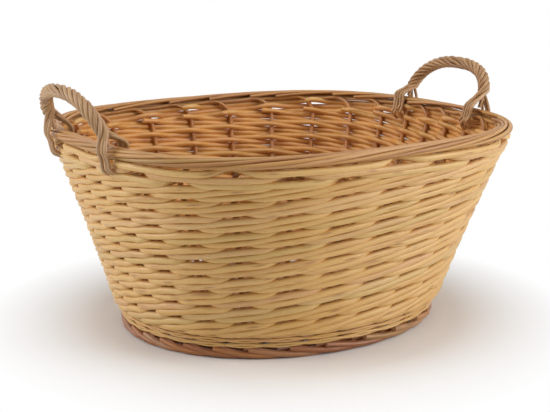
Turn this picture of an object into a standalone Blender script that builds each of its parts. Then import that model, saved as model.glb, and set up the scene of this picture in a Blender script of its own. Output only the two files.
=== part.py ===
# An oval wicker laundry basket: willow rods woven round upright stakes, on a pierced base
# and a twisted foot border, with a rolled rim and a roped bow handle at each end.
#
# Metres, +Z up. The basket stands on the plane Z = 0 with its middle on the Z axis,
# its length along X and its width along Y.

from math import cos, pi, sin, sqrt

import bmesh
import bpy
from mathutils import Vector

# Overall sizes, measured over the outer edges of the rim and the foot
RIM_LENGTH = 0.600
RIM_WIDTH = 0.540
RIM_HEIGHT = 0.275
FOOT_LENGTH = 0.452
FOOT_WIDTH = 0.383

# The rim is squarer than an ellipse (exponent 2), the foot is a plain ellipse, and the
# wall is hollow: it flares more towards the rim by this share of its spread
RIM_SQUARENESS = 2.8
WALL_HOLLOW = 0.13

# Upright stakes, set closer together round the two ends than along the sides
STAKE_COUNT = 30
STAKE_RADIUS = 0.0035
END_CROWDING = 0.085
STAKE_BENDS = 3

# Rim border: the stakes' own tops, laid over each other and twisted into a roll
BORDER_WIDTH = 0.021
BORDER_DEPTH = 0.015
BORDER_RODS = 4
BORDER_GROOVE = 0.20
BORDER_STEPS = 2

# Foot border: a twisted roll of thicker rods, trimmed flat underneath
FOOT_BORDER_WIDTH = 0.021
FOOT_BORDER_DEPTH = 0.0180
FOOT_BORDER_RODS = 3
FOOT_BORDER_GROOVE = 0.20
FOOT_BORDER_STEPS = 2
FOOT_TRIM = 0.0012

# Siding: one weaver for each stake. Each goes once round the basket, outside this many
# stakes for each one that it passes inside, and climbs one row at every stake. The rows
# share the height between the two wale bands, and a weaver's radius at its thick and its
# thin end is a share of the height of a row
OUTSIDE_STROKES = 2
WEAVER_STROKES = STAKE_COUNT + 1
WEAVER_BUTT_SHARE = 0.468
WEAVER_TIP_SHARE = 0.435

# Bands of three-rod waling below and above the siding
UPSETT_ROD_RADIUS = 0.0033
TOP_WALE_ROD_RADIUS = 0.0025
WALE_RODS = 3
TOP_WALE_GAP = 0.0025

# Base: long sticks through slits in the cross sticks, woven over and under
LONG_STICKS = 3
CROSS_STICKS = 7
LONG_STICK_RADIUS = 0.0030
CROSS_STICK_RADIUS = 0.0030
CROSS_STICK_BULGE = 0.0058
CROSS_STICK_SPACING = 0.052 * FOOT_LENGTH
CROSS_STICK_SPREAD = 0.10 * FOOT_LENGTH
LONG_STICK_SPREAD = 0.20 * FOOT_WIDTH
LONG_STICK_FAN = 0.024
LONG_STICK_FAN_LENGTH = 0.016
BASE_WEAVER_RADIUS = 0.0034
BASE_WEAVERS = 2
BASE_ROUNDS = 10

# Bow handles, one at each end: a bow with roping wound round it, whose strands part near
# the feet, straddle the rim and run down the wall. A foot is placed by the stakes, counted
# from the first beside the basket's long axis, and stands just past one of them
HANDLE_RISE = 0.0575
HANDLE_LEAN = 0.0215
HANDLE_SQUARENESS = 2.7
HANDLE_FOOT_SHIFT = 0.005
HANDLE_STAKE = 1.2
BOW_RADIUS = 0.0028
BOW_BENDS = 16
ROPING_RADIUS = 0.0030
ROPING_STRANDS = 3
ROPING_TURNS = 4
ROPING_STEPS = 6
ROPING_PARTS_AT = 0.07
ROPING_TAIL_DROP = 0.045
ROPING_TAIL_CLEARANCE = 0.002

# Clearances between rods that touch
TOUCH = 0.0003
WEAVE_CLEARANCE = 0.0007
BASE_WEAVE_CLEARANCE = 0.0013

# Sides of the section of the thickest rods and of the others
THICK_SIDES = 5
THIN_SIDES = 4

BORDER_MIDDLE = RIM_HEIGHT - BORDER_DEPTH / 2
SMALL_STEP = 0.001


# Materials

def willow(name, colour, roughness):
    """A plain willow finish: dry, unpolished wood."""
    material = bpy.data.materials.new(name)
    material.use_nodes = True
    shader = material.node_tree.nodes["Principled BSDF"]
    shader.inputs["Base Color"].default_value = (*colour, 1.0)
    shader.inputs["Roughness"].default_value = roughness
    shader.inputs["Metallic"].default_value = 0.0
    material.diffuse_color = (*colour, 1.0)
    return material


# The shape of the wall

def oval(angle, half_length, half_width, squareness):
    """A point of an oval, by the angle that it would have on a circle of radius 1."""
    reach = (abs(cos(angle)) ** squareness + abs(sin(angle)) ** squareness) ** (-1 / squareness)
    return Vector((half_length * reach * cos(angle), half_width * reach * sin(angle), 0.0))


def stake_line(angle, height):
    """The point where a stake at this angle passes this height."""
    part_way = height / BORDER_MIDDLE
    spread = part_way - WALL_HOLLOW * part_way * (1 - part_way)
    foot = oval(angle, (FOOT_LENGTH - FOOT_BORDER_WIDTH) / 2, (FOOT_WIDTH - FOOT_BORDER_WIDTH) / 2, 2)
    rim = oval(angle, (RIM_LENGTH - BORDER_WIDTH) / 2, (RIM_WIDTH - BORDER_WIDTH) / 2, RIM_SQUARENESS)
    point = foot.lerp(rim, spread)
    point.z = height
    return point


def wall_normal(angle, height):
    """The outward direction square to the wall."""
    along = stake_line(angle + SMALL_STEP, height) - stake_line(angle - SMALL_STEP, height)
    up = stake_line(angle, height + SMALL_STEP) - stake_line(angle, height - SMALL_STEP)
    return along.cross(up).normalized()


def wall_point(angle, height, offset):
    """A point at this angle and height, moved outwards from the line of the stakes."""
    return stake_line(angle, height) + wall_normal(angle, height) * offset


def stake_angle(number):
    """The angle of a stake. Stakes 0 and -1 stand either side of the middle of the +X end."""
    even = 2 * pi * (number + 0.5) / STAKE_COUNT
    return even - END_CROWDING * sin(2 * even)


# Rods

def sweep(name, path, normals, radii, sides, material, turn=0.25, closed=False):
    """A rod along a path. Each section has one corner a given turn round from its normal."""
    mesh_maker = bmesh.new()
    count = len(path)
    rings = []
    for i, centre in enumerate(path):
        before = path[i - 1] if i > 0 or closed else path[i]
        after = path[(i + 1) % count] if i < count - 1 or closed else path[i]
        forward = (after - before).normalized()
        out = (normals[i] - forward * normals[i].dot(forward)).normalized()
        side = forward.cross(out)
        ring = []
        for j in range(sides):
            corner = 2 * pi * (j / sides + turn)
            ring.append(mesh_maker.verts.new(centre + radii[i] * (cos(corner) * out + sin(corner) * side)))
        rings.append(ring)
    skin(mesh_maker, rings, closed)
    return finish(name, mesh_maker, material)


def skin(mesh_maker, rings, closed, shift=0):
    """Joins each ring of corners to the next, and caps the ends unless the last meets the first."""
    pairs = list(zip(rings, rings[1:]))
    if closed:
        pairs.append((rings[-1], rings[0][shift:] + rings[0][:shift]))
    for ring, following in pairs:
        for j in range(len(ring)):
            k = (j + 1) % len(ring)
            mesh_maker.faces.new((ring[j], ring[k], following[k], following[j]))
    if not closed:
        mesh_maker.faces.new(rings[0])
        mesh_maker.faces.new(rings[-1])


def finish(name, mesh_maker, material):
    """Turns the faces outwards, makes them flat and makes the named object."""
    bmesh.ops.recalc_face_normals(mesh_maker, faces=mesh_maker.faces)
    bmesh.ops.triangulate(mesh_maker, faces=mesh_maker.faces)
    mesh = bpy.data.meshes.new(name)
    mesh_maker.to_mesh(mesh)
    mesh_maker.free()
    mesh.materials.append(material)
    mesh.shade_smooth()
    mesh.set_sharp_from_angle(angle=pi / 3)
    piece = bpy.data.objects.new(name, mesh)
    bpy.context.scene.collection.objects.link(piece)
    return piece


def weave_offset(rod_radius):
    """How far a rod's middle lies from the line of the stakes where it passes one."""
    return STAKE_RADIUS + rod_radius + WEAVE_CLEARANCE


# Stakes and the two borders

def twisted_ring(name, height, width, depth, rods, groove, steps_to_a_stake, material):
    """A roll of rods laid round the oval, each turning once round the roll in as many stakes as there are rods.

    One of the rods lies on top at every stake. What would reach below the ground is cut off flat.
    """
    mesh_maker = bmesh.new()
    rings = []
    for i in range(STAKE_COUNT * steps_to_a_stake):
        angle = stake_angle(i / steps_to_a_stake)
        centre = stake_line(angle, height)
        out = wall_normal(angle, height)
        out.z = 0.0
        out.normalize()
        twist = 2 * pi * i / (steps_to_a_stake * rods)
        ring = []
        for j in range(2 * rods):
            corner = pi / 2 + pi * j / rods + twist
            reach = 1.0 if j % 2 == 0 else 1.0 - groove
            place = centre + out * (reach * width / 2 * cos(corner))
            place.z = height + reach * depth / 2 * sin(corner)
            ring.append(mesh_maker.verts.new(place))
        rings.append(ring)
    corners_turned = 2 * STAKE_COUNT
    skin(mesh_maker, rings, closed=True, shift=corners_turned % (2 * rods))
    bmesh.ops.triangulate(mesh_maker, faces=mesh_maker.faces)
    whole = mesh_maker.verts[:] + mesh_maker.edges[:] + mesh_maker.faces[:]
    bmesh.ops.bisect_plane(mesh_maker, geom=whole, plane_co=(0, 0, 0), plane_no=(0, 0, 1), clear_inner=True)
    bmesh.ops.holes_fill(mesh_maker, edges=mesh_maker.edges)
    return finish(name, mesh_maker, material)


def stakes_and_border(material):
    """The stakes stand on the foot border, and their tops are the rim border itself."""
    bottom = FOOT_BORDER_DEPTH - FOOT_TRIM + TOUCH
    stakes = bpy.data.collections.new("stakes")
    bpy.context.scene.collection.children.link(stakes)
    for number in range(STAKE_COUNT):
        angle = stake_angle(number)
        heights = [bottom + (BORDER_MIDDLE - bottom) * i / STAKE_BENDS for i in range(STAKE_BENDS + 1)]
        path = [stake_line(angle, height) for height in heights]
        normals = [wall_normal(angle, height) for height in heights]
        radii = [STAKE_RADIUS] * len(path)
        stake = sweep("stake_guide", path, normals, radii, THIN_SIDES, material)
        stakes.objects.link(stake)
    ring = twisted_ring(
        "stakes_and_rim_border",
        BORDER_MIDDLE,
        BORDER_WIDTH,
        BORDER_DEPTH,
        BORDER_RODS,
        BORDER_GROOVE,
        BORDER_STEPS,
        material,
    )
    union = ring.modifiers.new("join", "BOOLEAN")
    union.operation = "UNION"
    union.solver = "EXACT"
    union.operand_type = "COLLECTION"
    union.collection = stakes
    apply_modifiers(ring)
    for stake in list(stakes.objects):
        bpy.data.objects.remove(stake)
    bpy.data.collections.remove(stakes)
    return ring


def apply_modifiers(piece):
    """Replaces a piece's mesh by the one that its modifiers make."""
    bpy.context.view_layer.update()
    graph = bpy.context.evaluated_depsgraph_get()
    finished = bpy.data.meshes.new_from_object(piece.evaluated_get(graph))
    piece.modifiers.clear()
    piece.data = finished


def foot_border_middle():
    """The roll is trimmed flat where it meets the ground."""
    return FOOT_BORDER_DEPTH / 2 - FOOT_TRIM


def foot_border(material):
    """The roll that the basket stands on."""
    return twisted_ring(
        "foot_border",
        foot_border_middle(),
        FOOT_BORDER_WIDTH,
        FOOT_BORDER_DEPTH,
        FOOT_BORDER_RODS,
        FOOT_BORDER_GROOVE,
        FOOT_BORDER_STEPS,
        material,
    )


# Siding

def siding_bottom():
    """The weavers' first outer strokes lie on the upsett's higher outer strokes."""
    return upsett_middle() + wale_step(UPSETT_ROD_RADIUS) + UPSETT_ROD_RADIUS + TOUCH


def siding_top():
    """The weavers' last strokes are inner ones, under the top band's inner strokes."""
    return top_wale_middle() - TOP_WALE_ROD_RADIUS - TOUCH


def row_pitch():
    """Height of a row. The first outer stroke, which is the second of all, is at the bottom."""
    rows = WEAVER_STROKES - 2 + WEAVER_BUTT_SHARE + WEAVER_TIP_SHARE
    return (siding_top() - siding_bottom()) / rows


def weaver_radius(stroke):
    """A weaver thins evenly from its first stroke to its last."""
    thinned = stroke / (WEAVER_STROKES - 1)
    return row_pitch() * (WEAVER_BUTT_SHARE + (WEAVER_TIP_SHARE - WEAVER_BUTT_SHARE) * thinned)


def row_height(stroke):
    """Height of a weaver's middle where it passes a stake."""
    return siding_bottom() + weaver_radius(0) + (stroke - 1) * row_pitch()


def weaver(number, material):
    """One rod of the siding: inside one stake, outside the next two, a row higher each time."""
    path = []
    normals = []
    radii = []
    for stroke in range(WEAVER_STROKES):
        angle = stake_angle(number + stroke)
        height = row_height(stroke)
        radius = weaver_radius(stroke)
        side = -1 if stroke % (OUTSIDE_STROKES + 1) == 0 else 1
        path.append(wall_point(angle, height, side * weave_offset(radius)))
        normals.append(wall_normal(angle, height))
        radii.append(radius)
    return sweep(f"weaver_{number + 1:02d}", path, normals, radii, THIN_SIDES, material)


# Waling

def wale_step(rod_radius):
    """Half the height between the two outer strokes of a band."""
    return 2 * rod_radius + WEAVE_CLEARANCE


def upsett_middle():
    """The upsett's lowest strokes lie just above the foot border."""
    return FOOT_BORDER_DEPTH - FOOT_TRIM + 2 * TOUCH + wale_step(UPSETT_ROD_RADIUS) + UPSETT_ROD_RADIUS


def top_wale_middle():
    """The top band's highest strokes lie a little below the rim border."""
    highest = RIM_HEIGHT - BORDER_DEPTH - TOP_WALE_GAP - TOP_WALE_ROD_RADIUS
    return highest - wale_step(TOP_WALE_ROD_RADIUS)


def wale_rod(name, number, middle, radius, material):
    """One of three rods that pass outside two stakes and inside the third, each one stake behind the next."""
    rises = (0, 1, -1)
    path = []
    normals = []
    for i in range(STAKE_COUNT):
        stage = (i + number) % WALE_RODS
        side = -1 if stage == 0 else 1
        angle = stake_angle(i)
        height = middle + rises[stage] * wale_step(radius)
        path.append(wall_point(angle, height, side * weave_offset(radius)))
        normals.append(wall_normal(angle, height))
    return sweep(name, path, normals, [radius] * STAKE_COUNT, THIN_SIDES, material, closed=True)


# Base

def stick_radius():
    """The thicker kind of stick, which the base's height and its weave have to suit."""
    return max(LONG_STICK_RADIUS, CROSS_STICK_RADIUS)


def base_weave_rise():
    """How far a base weaver's middle lies above or below a stick's."""
    return stick_radius() + BASE_WEAVER_RADIUS + BASE_WEAVE_CLEARANCE


def stick_inset():
    """How far inside the line of the stakes the sticks end, clear of the stakes."""
    return STAKE_RADIUS + stick_radius() + TOUCH


def base_middle():
    """The sticks' ends lie on the shoulder of the foot border, half-way into its grooves."""
    fullness = 1 - FOOT_BORDER_GROOVE / 2
    across = stick_inset() / (fullness * FOOT_BORDER_WIDTH / 2)
    shoulder = fullness * FOOT_BORDER_DEPTH / 2 * sqrt(1 - across ** 2)
    return foot_border_middle() + shoulder + TOUCH + stick_radius()


def base_reach():
    """Half the length and half the width of the base, over the ends of its sticks."""
    end = stake_line(0.0, foot_border_middle())
    side = stake_line(pi / 2, foot_border_middle())
    return end.x - stick_inset(), side.y - stick_inset()


def edge_at_x(x):
    """The base's half width at this distance from the middle."""
    half_length, half_width = base_reach()
    return half_width * sqrt(1 - (x / half_length) ** 2)


def edge_at_y(y):
    """The base's half length at this distance from the long axis."""
    half_length, half_width = base_reach()
    return half_length * sqrt(1 - (y / half_width) ** 2)


def slath_half_width():
    """Half the width of the long sticks lying side by side."""
    return LONG_STICKS * (LONG_STICK_RADIUS + TOUCH)


def cross_spoke(number, end):
    """Start and end of one arm of a cross stick. number runs from -3 to 3, end is 1 or -1."""
    start_x = number * CROSS_STICK_SPACING
    end_x = number * CROSS_STICK_SPREAD
    start = Vector((start_x, end * 2 * slath_half_width(), base_middle()))
    return start, Vector((end_x, end * edge_at_x(end_x), base_middle()))


def slath_end():
    """Half the length over which the long sticks lie side by side."""
    return (CROSS_STICKS // 2 + 0.5) * CROSS_STICK_SPACING


def long_spoke(number, end):
    """Start and end of one fanned arm of a long stick. number runs from -1 to 1, end is 1 or -1."""
    start = Vector((end * (slath_end() + LONG_STICK_FAN_LENGTH), number * LONG_STICK_FAN, base_middle()))
    end_y = number * LONG_STICK_SPREAD
    return start, Vector((end * edge_at_y(end_y), end_y, base_middle()))


def long_stick(number, material):
    """A stick along the middle of the base, fanned out at both ends."""
    near, far = long_spoke(number, -1), long_spoke(number, 1)
    beside = number * 2 * (LONG_STICK_RADIUS + TOUCH)
    near_bend = Vector((-slath_end(), beside, base_middle()))
    far_bend = Vector((slath_end(), beside, base_middle()))
    path = [near[1], near[0], near_bend, far_bend, far[0], far[1]]
    radii = [LONG_STICK_RADIUS] * len(path)
    name = f"base_long_stick_{number + LONG_STICKS // 2 + 1}"
    return sweep(name, path, [Vector((0, 0, 1))] * len(path), radii, THICK_SIDES, material)


def cross_stick(number, material):
    """A stick across the base, thicker in the middle, with a slit that the long sticks pass through."""
    near, far = cross_spoke(number, -1), cross_spoke(number, 1)
    bulge_near = near[0] * 1.0
    bulge_far = far[0] * 1.0
    bulge_near.y = -slath_half_width() - CROSS_STICK_RADIUS / 2
    bulge_far.y = slath_half_width() + CROSS_STICK_RADIUS / 2
    path = [near[1], near[0], bulge_near, bulge_far, far[0], far[1]]
    thin, thick = CROSS_STICK_RADIUS, CROSS_STICK_BULGE
    radii = [thin, thin, thick, thick, thin, thin]
    name = f"base_cross_stick_{number + CROSS_STICKS // 2 + 1}"
    stick = sweep(name, path, [Vector((0, 0, 1))] * len(path), radii, THICK_SIDES, material, turn=0.0)
    cut_slit(stick, near[0].x)
    return stick


def cut_slit(stick, x):
    """Cuts the slit for the long sticks, with a little room round them."""
    bpy.ops.mesh.primitive_cube_add(size=1.0, location=(x, 0.0, base_middle()))
    cutter = bpy.context.object
    cutter.scale = (
        4 * CROSS_STICK_BULGE,
        2 * (slath_half_width() + TOUCH),
        2 * (LONG_STICK_RADIUS + TOUCH),
    )
    cutter.hide_render = True
    cutter.display_type = "WIRE"
    bpy.context.view_layer.update()
    cut = stick.modifiers.new("slit", "BOOLEAN")
    cut.operation = "DIFFERENCE"
    cut.solver = "EXACT"
    cut.object = cutter
    apply_modifiers(stick)
    bpy.data.objects.remove(cutter)


def base_spokes():
    """Every arm of the base in turn round the basket, from the +X end."""
    half_long, half_cross = LONG_STICKS // 2, CROSS_STICKS // 2
    spokes = [long_spoke(n, 1) for n in range(0, half_long + 1)]
    spokes += [cross_spoke(n, 1) for n in range(half_cross, -half_cross - 1, -1)]
    spokes += [long_spoke(n, -1) for n in range(half_long, -half_long - 1, -1)]
    spokes += [cross_spoke(n, -1) for n in range(-half_cross, half_cross + 1)]
    spokes += [long_spoke(n, 1) for n in range(-half_long, 0)]
    return spokes


def base_weaver(number, material):
    """One of two rods that spiral outwards half a turn apart, one over each stick where the other goes under."""
    spokes = base_spokes()
    count = len(spokes)
    steps = BASE_ROUNDS // BASE_WEAVERS * count
    # The last round stays inside the inner strokes of the upsett
    inset = weave_offset(UPSETT_ROD_RADIUS) + UPSETT_ROD_RADIUS + TOUCH + BASE_WEAVER_RADIUS
    margin = inset - stick_inset() + WEAVE_CLEARANCE
    path = []
    for i in range(steps):
        start, end = spokes[(i + number * count // BASE_WEAVERS) % count]
        share = (BASE_WEAVERS * i / count + 1) / (BASE_ROUNDS + 1)
        side = 1 if (i + number) % 2 == 0 else -1
        point = start.lerp(end, share * (1 - margin / (end - start).length))
        point.z += side * base_weave_rise()
        path.append(point)
    normals = [Vector((0, 0, 1))] * len(path)
    radii = [BASE_WEAVER_RADIUS] * len(path)
    return sweep(f"base_weaver_{number + 1}", path, normals, radii, THIN_SIDES, material)


# Handles

def handle_arch(share):
    """The middle line of the bow at the +X end, from the -Y foot (share 0) to the +Y foot (share 1)."""
    foot = stake_line(stake_angle(HANDLE_STAKE), RIM_HEIGHT)
    turn = pi * share
    across = abs(cos(turn)) ** (2 / HANDLE_SQUARENESS)
    rise = sin(turn) ** (2 / HANDLE_SQUARENESS)
    side = -1 if share < 0.5 else 1
    x = foot.x + HANDLE_FOOT_SHIFT + HANDLE_LEAN * rise
    return Vector((x, side * foot.y * across, RIM_HEIGHT + TOUCH + HANDLE_RISE * rise))


def arch_frame(share):
    """The bow's direction and two directions square to it, outwards from the basket and along the arch's plane."""
    low, high = max(share - SMALL_STEP, 0.0), min(share + SMALL_STEP, 1.0)
    forward = (handle_arch(high) - handle_arch(low)).normalized()
    plane = Vector((HANDLE_RISE, 0.0, -HANDLE_LEAN)).normalized()
    return forward, plane, forward.cross(plane)


def arch_shares(count):
    """Shares of the arch at even steps of turn, with both ends."""
    return [i / (count - 1) for i in range(count)]


def bow(material):
    """The thick rod inside a handle."""
    shares = arch_shares(BOW_BENDS + 1)
    path = [handle_arch(share) for share in shares]
    normals = [arch_frame(share)[1] for share in shares]
    return sweep("handle_right_bow", path, normals, [BOW_RADIUS] * len(path), THICK_SIDES, material)


def roping_tail(foot, outward, beside):
    """The end of a strand at one foot (-1 or 1), from the wall up to the rim, outside the basket or inside it."""
    angle = foot * stake_angle(HANDLE_STAKE)
    tip_radius = weaver_radius(WEAVER_STROKES - 1)
    # Between two stakes the weavers lie a little further in than where they pass one
    on_siding = weave_offset(tip_radius) + tip_radius + ROPING_RADIUS - TOUCH
    past_rim = BORDER_WIDTH / 2 + ROPING_TAIL_CLEARANCE + ROPING_RADIUS
    tail = []
    for height, offset in ((RIM_HEIGHT - ROPING_TAIL_DROP, on_siding), (RIM_HEIGHT, past_rim)):
        along = Vector((0, 0, 1)).cross(wall_normal(angle, height)).normalized()
        tail.append(wall_point(angle, height, outward * offset) + along * beside)
    return tail


def roping_strand(number, material):
    """A thinner rod wound along the bow, from a tail beside one foot to a tail beside the other."""
    steps = ROPING_TURNS * ROPING_STEPS
    lay = BOW_RADIUS + ROPING_RADIUS + 3 * TOUCH
    phase = 2 * pi * number / ROPING_STRANDS
    path = []
    normals = []
    for i in range(steps + 1):
        share = ROPING_PARTS_AT + (1 - 2 * ROPING_PARTS_AT) * i / steps
        forward, plane, square = arch_frame(share)
        turn = 2 * pi * i / ROPING_STEPS + phase
        out = cos(turn) * plane + sin(turn) * square
        path.append(handle_arch(share) + lay * out)
        normals.append(out)
    outward = 1 if cos(phase) > 0 else -1
    first_tail = roping_tail(-1, outward, lay * sin(phase))
    last_tail = roping_tail(1, outward, -lay * sin(phase))
    path = first_tail + path + last_tail[::-1]
    normals = normals[:1] * len(first_tail) + normals + normals[-1:] * len(last_tail)
    radii = [ROPING_RADIUS] * len(path)
    name = f"handle_right_roping_{number + 1}"
    return sweep(name, path, normals, radii, THIN_SIDES, material, turn=0.0)


def opposite(piece, name):
    """The same piece at the other end of the basket: turned half round the middle."""
    copy = bpy.data.objects.new(name, piece.data)
    copy.rotation_euler.z = pi
    bpy.context.scene.collection.objects.link(copy)
    return copy


# The basket

def build():
    for leftover in list(bpy.data.objects):
        bpy.data.objects.remove(leftover)

    siding = willow("siding_willow", (0.62, 0.45, 0.24), 0.55)
    stake = willow("stake_willow", (0.58, 0.37, 0.19), 0.60)
    foot = willow("foot_willow", (0.42, 0.20, 0.09), 0.60)
    base = willow("base_willow", (0.56, 0.36, 0.19), 0.62)
    handle = willow("handle_willow", (0.56, 0.38, 0.21), 0.58)

    stakes_and_border(stake)
    foot_border(foot)
    for number in range(STAKE_COUNT):
        weaver(number, siding)
    for number in range(WALE_RODS):
        name = f"upsett_rod_{number + 1}"
        wale_rod(name, number, upsett_middle(), UPSETT_ROD_RADIUS, siding)
        name = f"top_wale_rod_{number + 1}"
        wale_rod(name, number, top_wale_middle(), TOP_WALE_ROD_RADIUS, siding)
    for number in range(-(LONG_STICKS // 2), LONG_STICKS // 2 + 1):
        long_stick(number, base)
    for number in range(-(CROSS_STICKS // 2), CROSS_STICKS // 2 + 1):
        cross_stick(number, base)
    for number in range(BASE_WEAVERS):
        base_weaver(number, base)
    opposite(bow(handle), "handle_left_bow")
    for number in range(ROPING_STRANDS):
        opposite(roping_strand(number, handle), f"handle_left_roping_{number + 1}")


build()
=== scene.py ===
# %% [markdown]
# # An oval wicker laundry basket
# The real basket is woven from willow rods: upright stakes, thin rods woven between them,
# a rim made of the stakes' own tops, and a roped bow handle at each end.
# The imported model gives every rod's place and name. This script lays a smooth, tapered rod
# along each of those places and gives it a willow finish.

import random
from math import cos, exp, pi, radians, sin, sqrt

import bpy
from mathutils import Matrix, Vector


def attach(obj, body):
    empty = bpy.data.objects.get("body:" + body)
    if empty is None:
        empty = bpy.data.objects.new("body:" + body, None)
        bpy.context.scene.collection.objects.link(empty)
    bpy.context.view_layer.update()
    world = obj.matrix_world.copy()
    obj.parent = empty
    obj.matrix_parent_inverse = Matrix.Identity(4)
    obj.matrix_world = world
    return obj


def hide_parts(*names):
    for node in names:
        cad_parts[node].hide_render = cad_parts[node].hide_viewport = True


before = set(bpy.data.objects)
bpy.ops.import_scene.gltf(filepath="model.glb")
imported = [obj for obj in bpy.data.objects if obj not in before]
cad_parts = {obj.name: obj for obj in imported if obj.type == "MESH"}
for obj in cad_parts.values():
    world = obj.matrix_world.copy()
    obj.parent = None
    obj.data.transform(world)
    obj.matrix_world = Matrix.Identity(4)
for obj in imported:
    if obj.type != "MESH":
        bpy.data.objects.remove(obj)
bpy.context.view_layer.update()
scene = bpy.context.scene

# %% [markdown]
# ## The camera
# The photo looks at the basket from a little above its rim and from one side of its width.
# The lens is a long one, so the far rim is hardly smaller than the near one.

# %% Camera
CAMERA_AZIMUTH = radians(-33.32)
CAMERA_ELEVATION = radians(13.34)
CAMERA_DISTANCE = 1.6416
CAMERA_TARGET = Vector((0.0, 0.0, 0.14))
CAMERA_SENSOR = 36.0
CAMERA_LENS = 77.06
CAMERA_SHIFT_X = -0.0079
CAMERA_SHIFT_Y = 0.0140


def direction(azimuth, elevation):
    """The direction from the basket to a camera or a light. Azimuth 0 is in front, at -Y."""
    return Vector((
        sin(azimuth) * cos(elevation),
        -cos(azimuth) * cos(elevation),
        sin(elevation),
    ))


back = direction(CAMERA_AZIMUTH, CAMERA_ELEVATION)
bpy.ops.object.camera_add(location=CAMERA_TARGET + back * CAMERA_DISTANCE)
camera = bpy.context.object
camera.rotation_euler = back.to_track_quat("Z", "Y").to_euler()
camera.data.sensor_width = CAMERA_SENSOR
camera.data.lens = CAMERA_LENS
camera.data.shift_x = CAMERA_SHIFT_X
camera.data.shift_y = CAMERA_SHIFT_Y
camera.data.dof.use_dof = False
scene.camera = camera
print("camera at", camera.location)

# %% [markdown]
# ## Shader nodes
# These short functions each add one shader node, set it and link it. The finishes below are
# built from them.

# %% Helpers for shader nodes
def node(tree, kind, **settings):
    """A new node with some of its settings."""
    made = tree.nodes.new(kind)
    for name, value in settings.items():
        setattr(made, name, value)
    return made


def maths(tree, operation, first, second=None):
    """The result of an arithmetic node. An operand is a socket or a number."""
    made = node(tree, "ShaderNodeMath", operation=operation)
    for place, operand in enumerate((first, second)):
        if operand is None:
            continue
        if isinstance(operand, (int, float)):
            made.inputs[place].default_value = operand
        else:
            tree.links.new(operand, made.inputs[place])
    return made.outputs["Value"]


def times(tree, first, second):
    """One value times another."""
    return maths(tree, "MULTIPLY", first, second)


def plus(tree, first, second):
    """One value plus another."""
    return maths(tree, "ADD", first, second)


def stretched(tree, value, low, high, to_low=0.0, to_high=1.0):
    """A value brought from one range into another, held at its ends."""
    made = node(tree, "ShaderNodeMapRange")
    tree.links.new(value, made.inputs["Value"])
    made.inputs["From Min"].default_value = low
    made.inputs["From Max"].default_value = high
    made.inputs["To Min"].default_value = to_low
    made.inputs["To Max"].default_value = to_high
    return made.outputs["Result"]


def blended(tree, share, first, second, kind="MIX"):
    """Two colours mixed by a share."""
    made = node(tree, "ShaderNodeMix", data_type="RGBA", blend_type=kind)
    for place, value in ((0, share), (6, first), (7, second)):
        socket = made.inputs[place]
        if isinstance(value, (int, float)):
            socket.default_value = value
        elif isinstance(value, tuple):
            socket.default_value = (*value, 1.0)
        else:
            tree.links.new(value, socket)
    return made.outputs[2]


def noise(tree, place, scale, detail, roughness=0.5):
    """A smooth random value at a place."""
    made = node(tree, "ShaderNodeTexNoise")
    tree.links.new(place, made.inputs["Vector"])
    made.inputs["Scale"].default_value = scale
    made.inputs["Detail"].default_value = detail
    made.inputs["Roughness"].default_value = roughness
    return made.outputs["Fac"]


print("shader helpers ready")

# %% [markdown]
# ## Lights
# A large soft light shines from each side and one from above. The left and the right of the
# basket face the two side lights, so its middle is a little darker, as in the photo.

# %% Lights
# Name, azimuth and elevation in degrees, distance and size in metres, and power in watts
LIGHTS = (
    ("light_left", -117.0, 22.0, 2.2, 1.3, 23.5),
    ("light_right", 42.0, 22.0, 2.2, 1.3, 26.5),
    ("light_above", -40.0, 78.0, 2.2, 1.6, 20.0),
)

scene.view_settings.view_transform = "Standard"


def area_light(name, azimuth, elevation, distance, size, power):
    """A square soft light that shines at the middle of the basket."""
    towards = direction(radians(azimuth), radians(elevation))
    bpy.ops.object.light_add(type="AREA", location=CAMERA_TARGET + towards * distance)
    light = bpy.context.object
    light.name = name
    light.rotation_euler = towards.to_track_quat("Z", "Y").to_euler()
    light.data.shape = "SQUARE"
    light.data.size = size
    light.data.energy = power


for settings in LIGHTS:
    area_light(*settings)
print("lights", [settings[0] for settings in LIGHTS])

# %% [markdown]
# ## Sky and floor
# The camera sees a pure white background, while the basket gets only a little light from it.
# The paper under the basket keeps its shadow and fades to white further out.

# %% Sky and floor
SKY_LIGHT = 0.18
WHITE = (1.0, 1.0, 1.0, 1.0)
FLOOR_SIZE = 12.0
PAPER_COLOUR = (0.9, 0.9, 0.9, 1.0)
PAPER_ROUGHNESS = 0.9
PAPER_FADE_START = 0.25
PAPER_FADE_END = 0.42


def looked_at(tree):
    """1 for rays that come from the camera, also by way of a mirror or clear thing, else 0."""
    ray = node(tree, "ShaderNodeLightPath").outputs
    seen = plus(tree, ray["Is Camera Ray"], ray["Is Glossy Ray"])
    return plus(tree, seen, ray["Is Transmission Ray"])


world = bpy.data.worlds.new("studio")
scene.world = world
world.use_nodes = True
sky_tree = world.node_tree
sky = sky_tree.nodes["Background"]
sky.inputs["Color"].default_value = WHITE
brightness = stretched(sky_tree, looked_at(sky_tree), 0.0, 1.0, SKY_LIGHT, 1.0)
sky_tree.links.new(brightness, sky.inputs["Strength"])

bpy.ops.mesh.primitive_plane_add(size=FLOOR_SIZE, location=(0.0, 0.0, 0.0))
floor_sheet = bpy.context.object
floor_sheet.name = "studio_floor"

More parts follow.
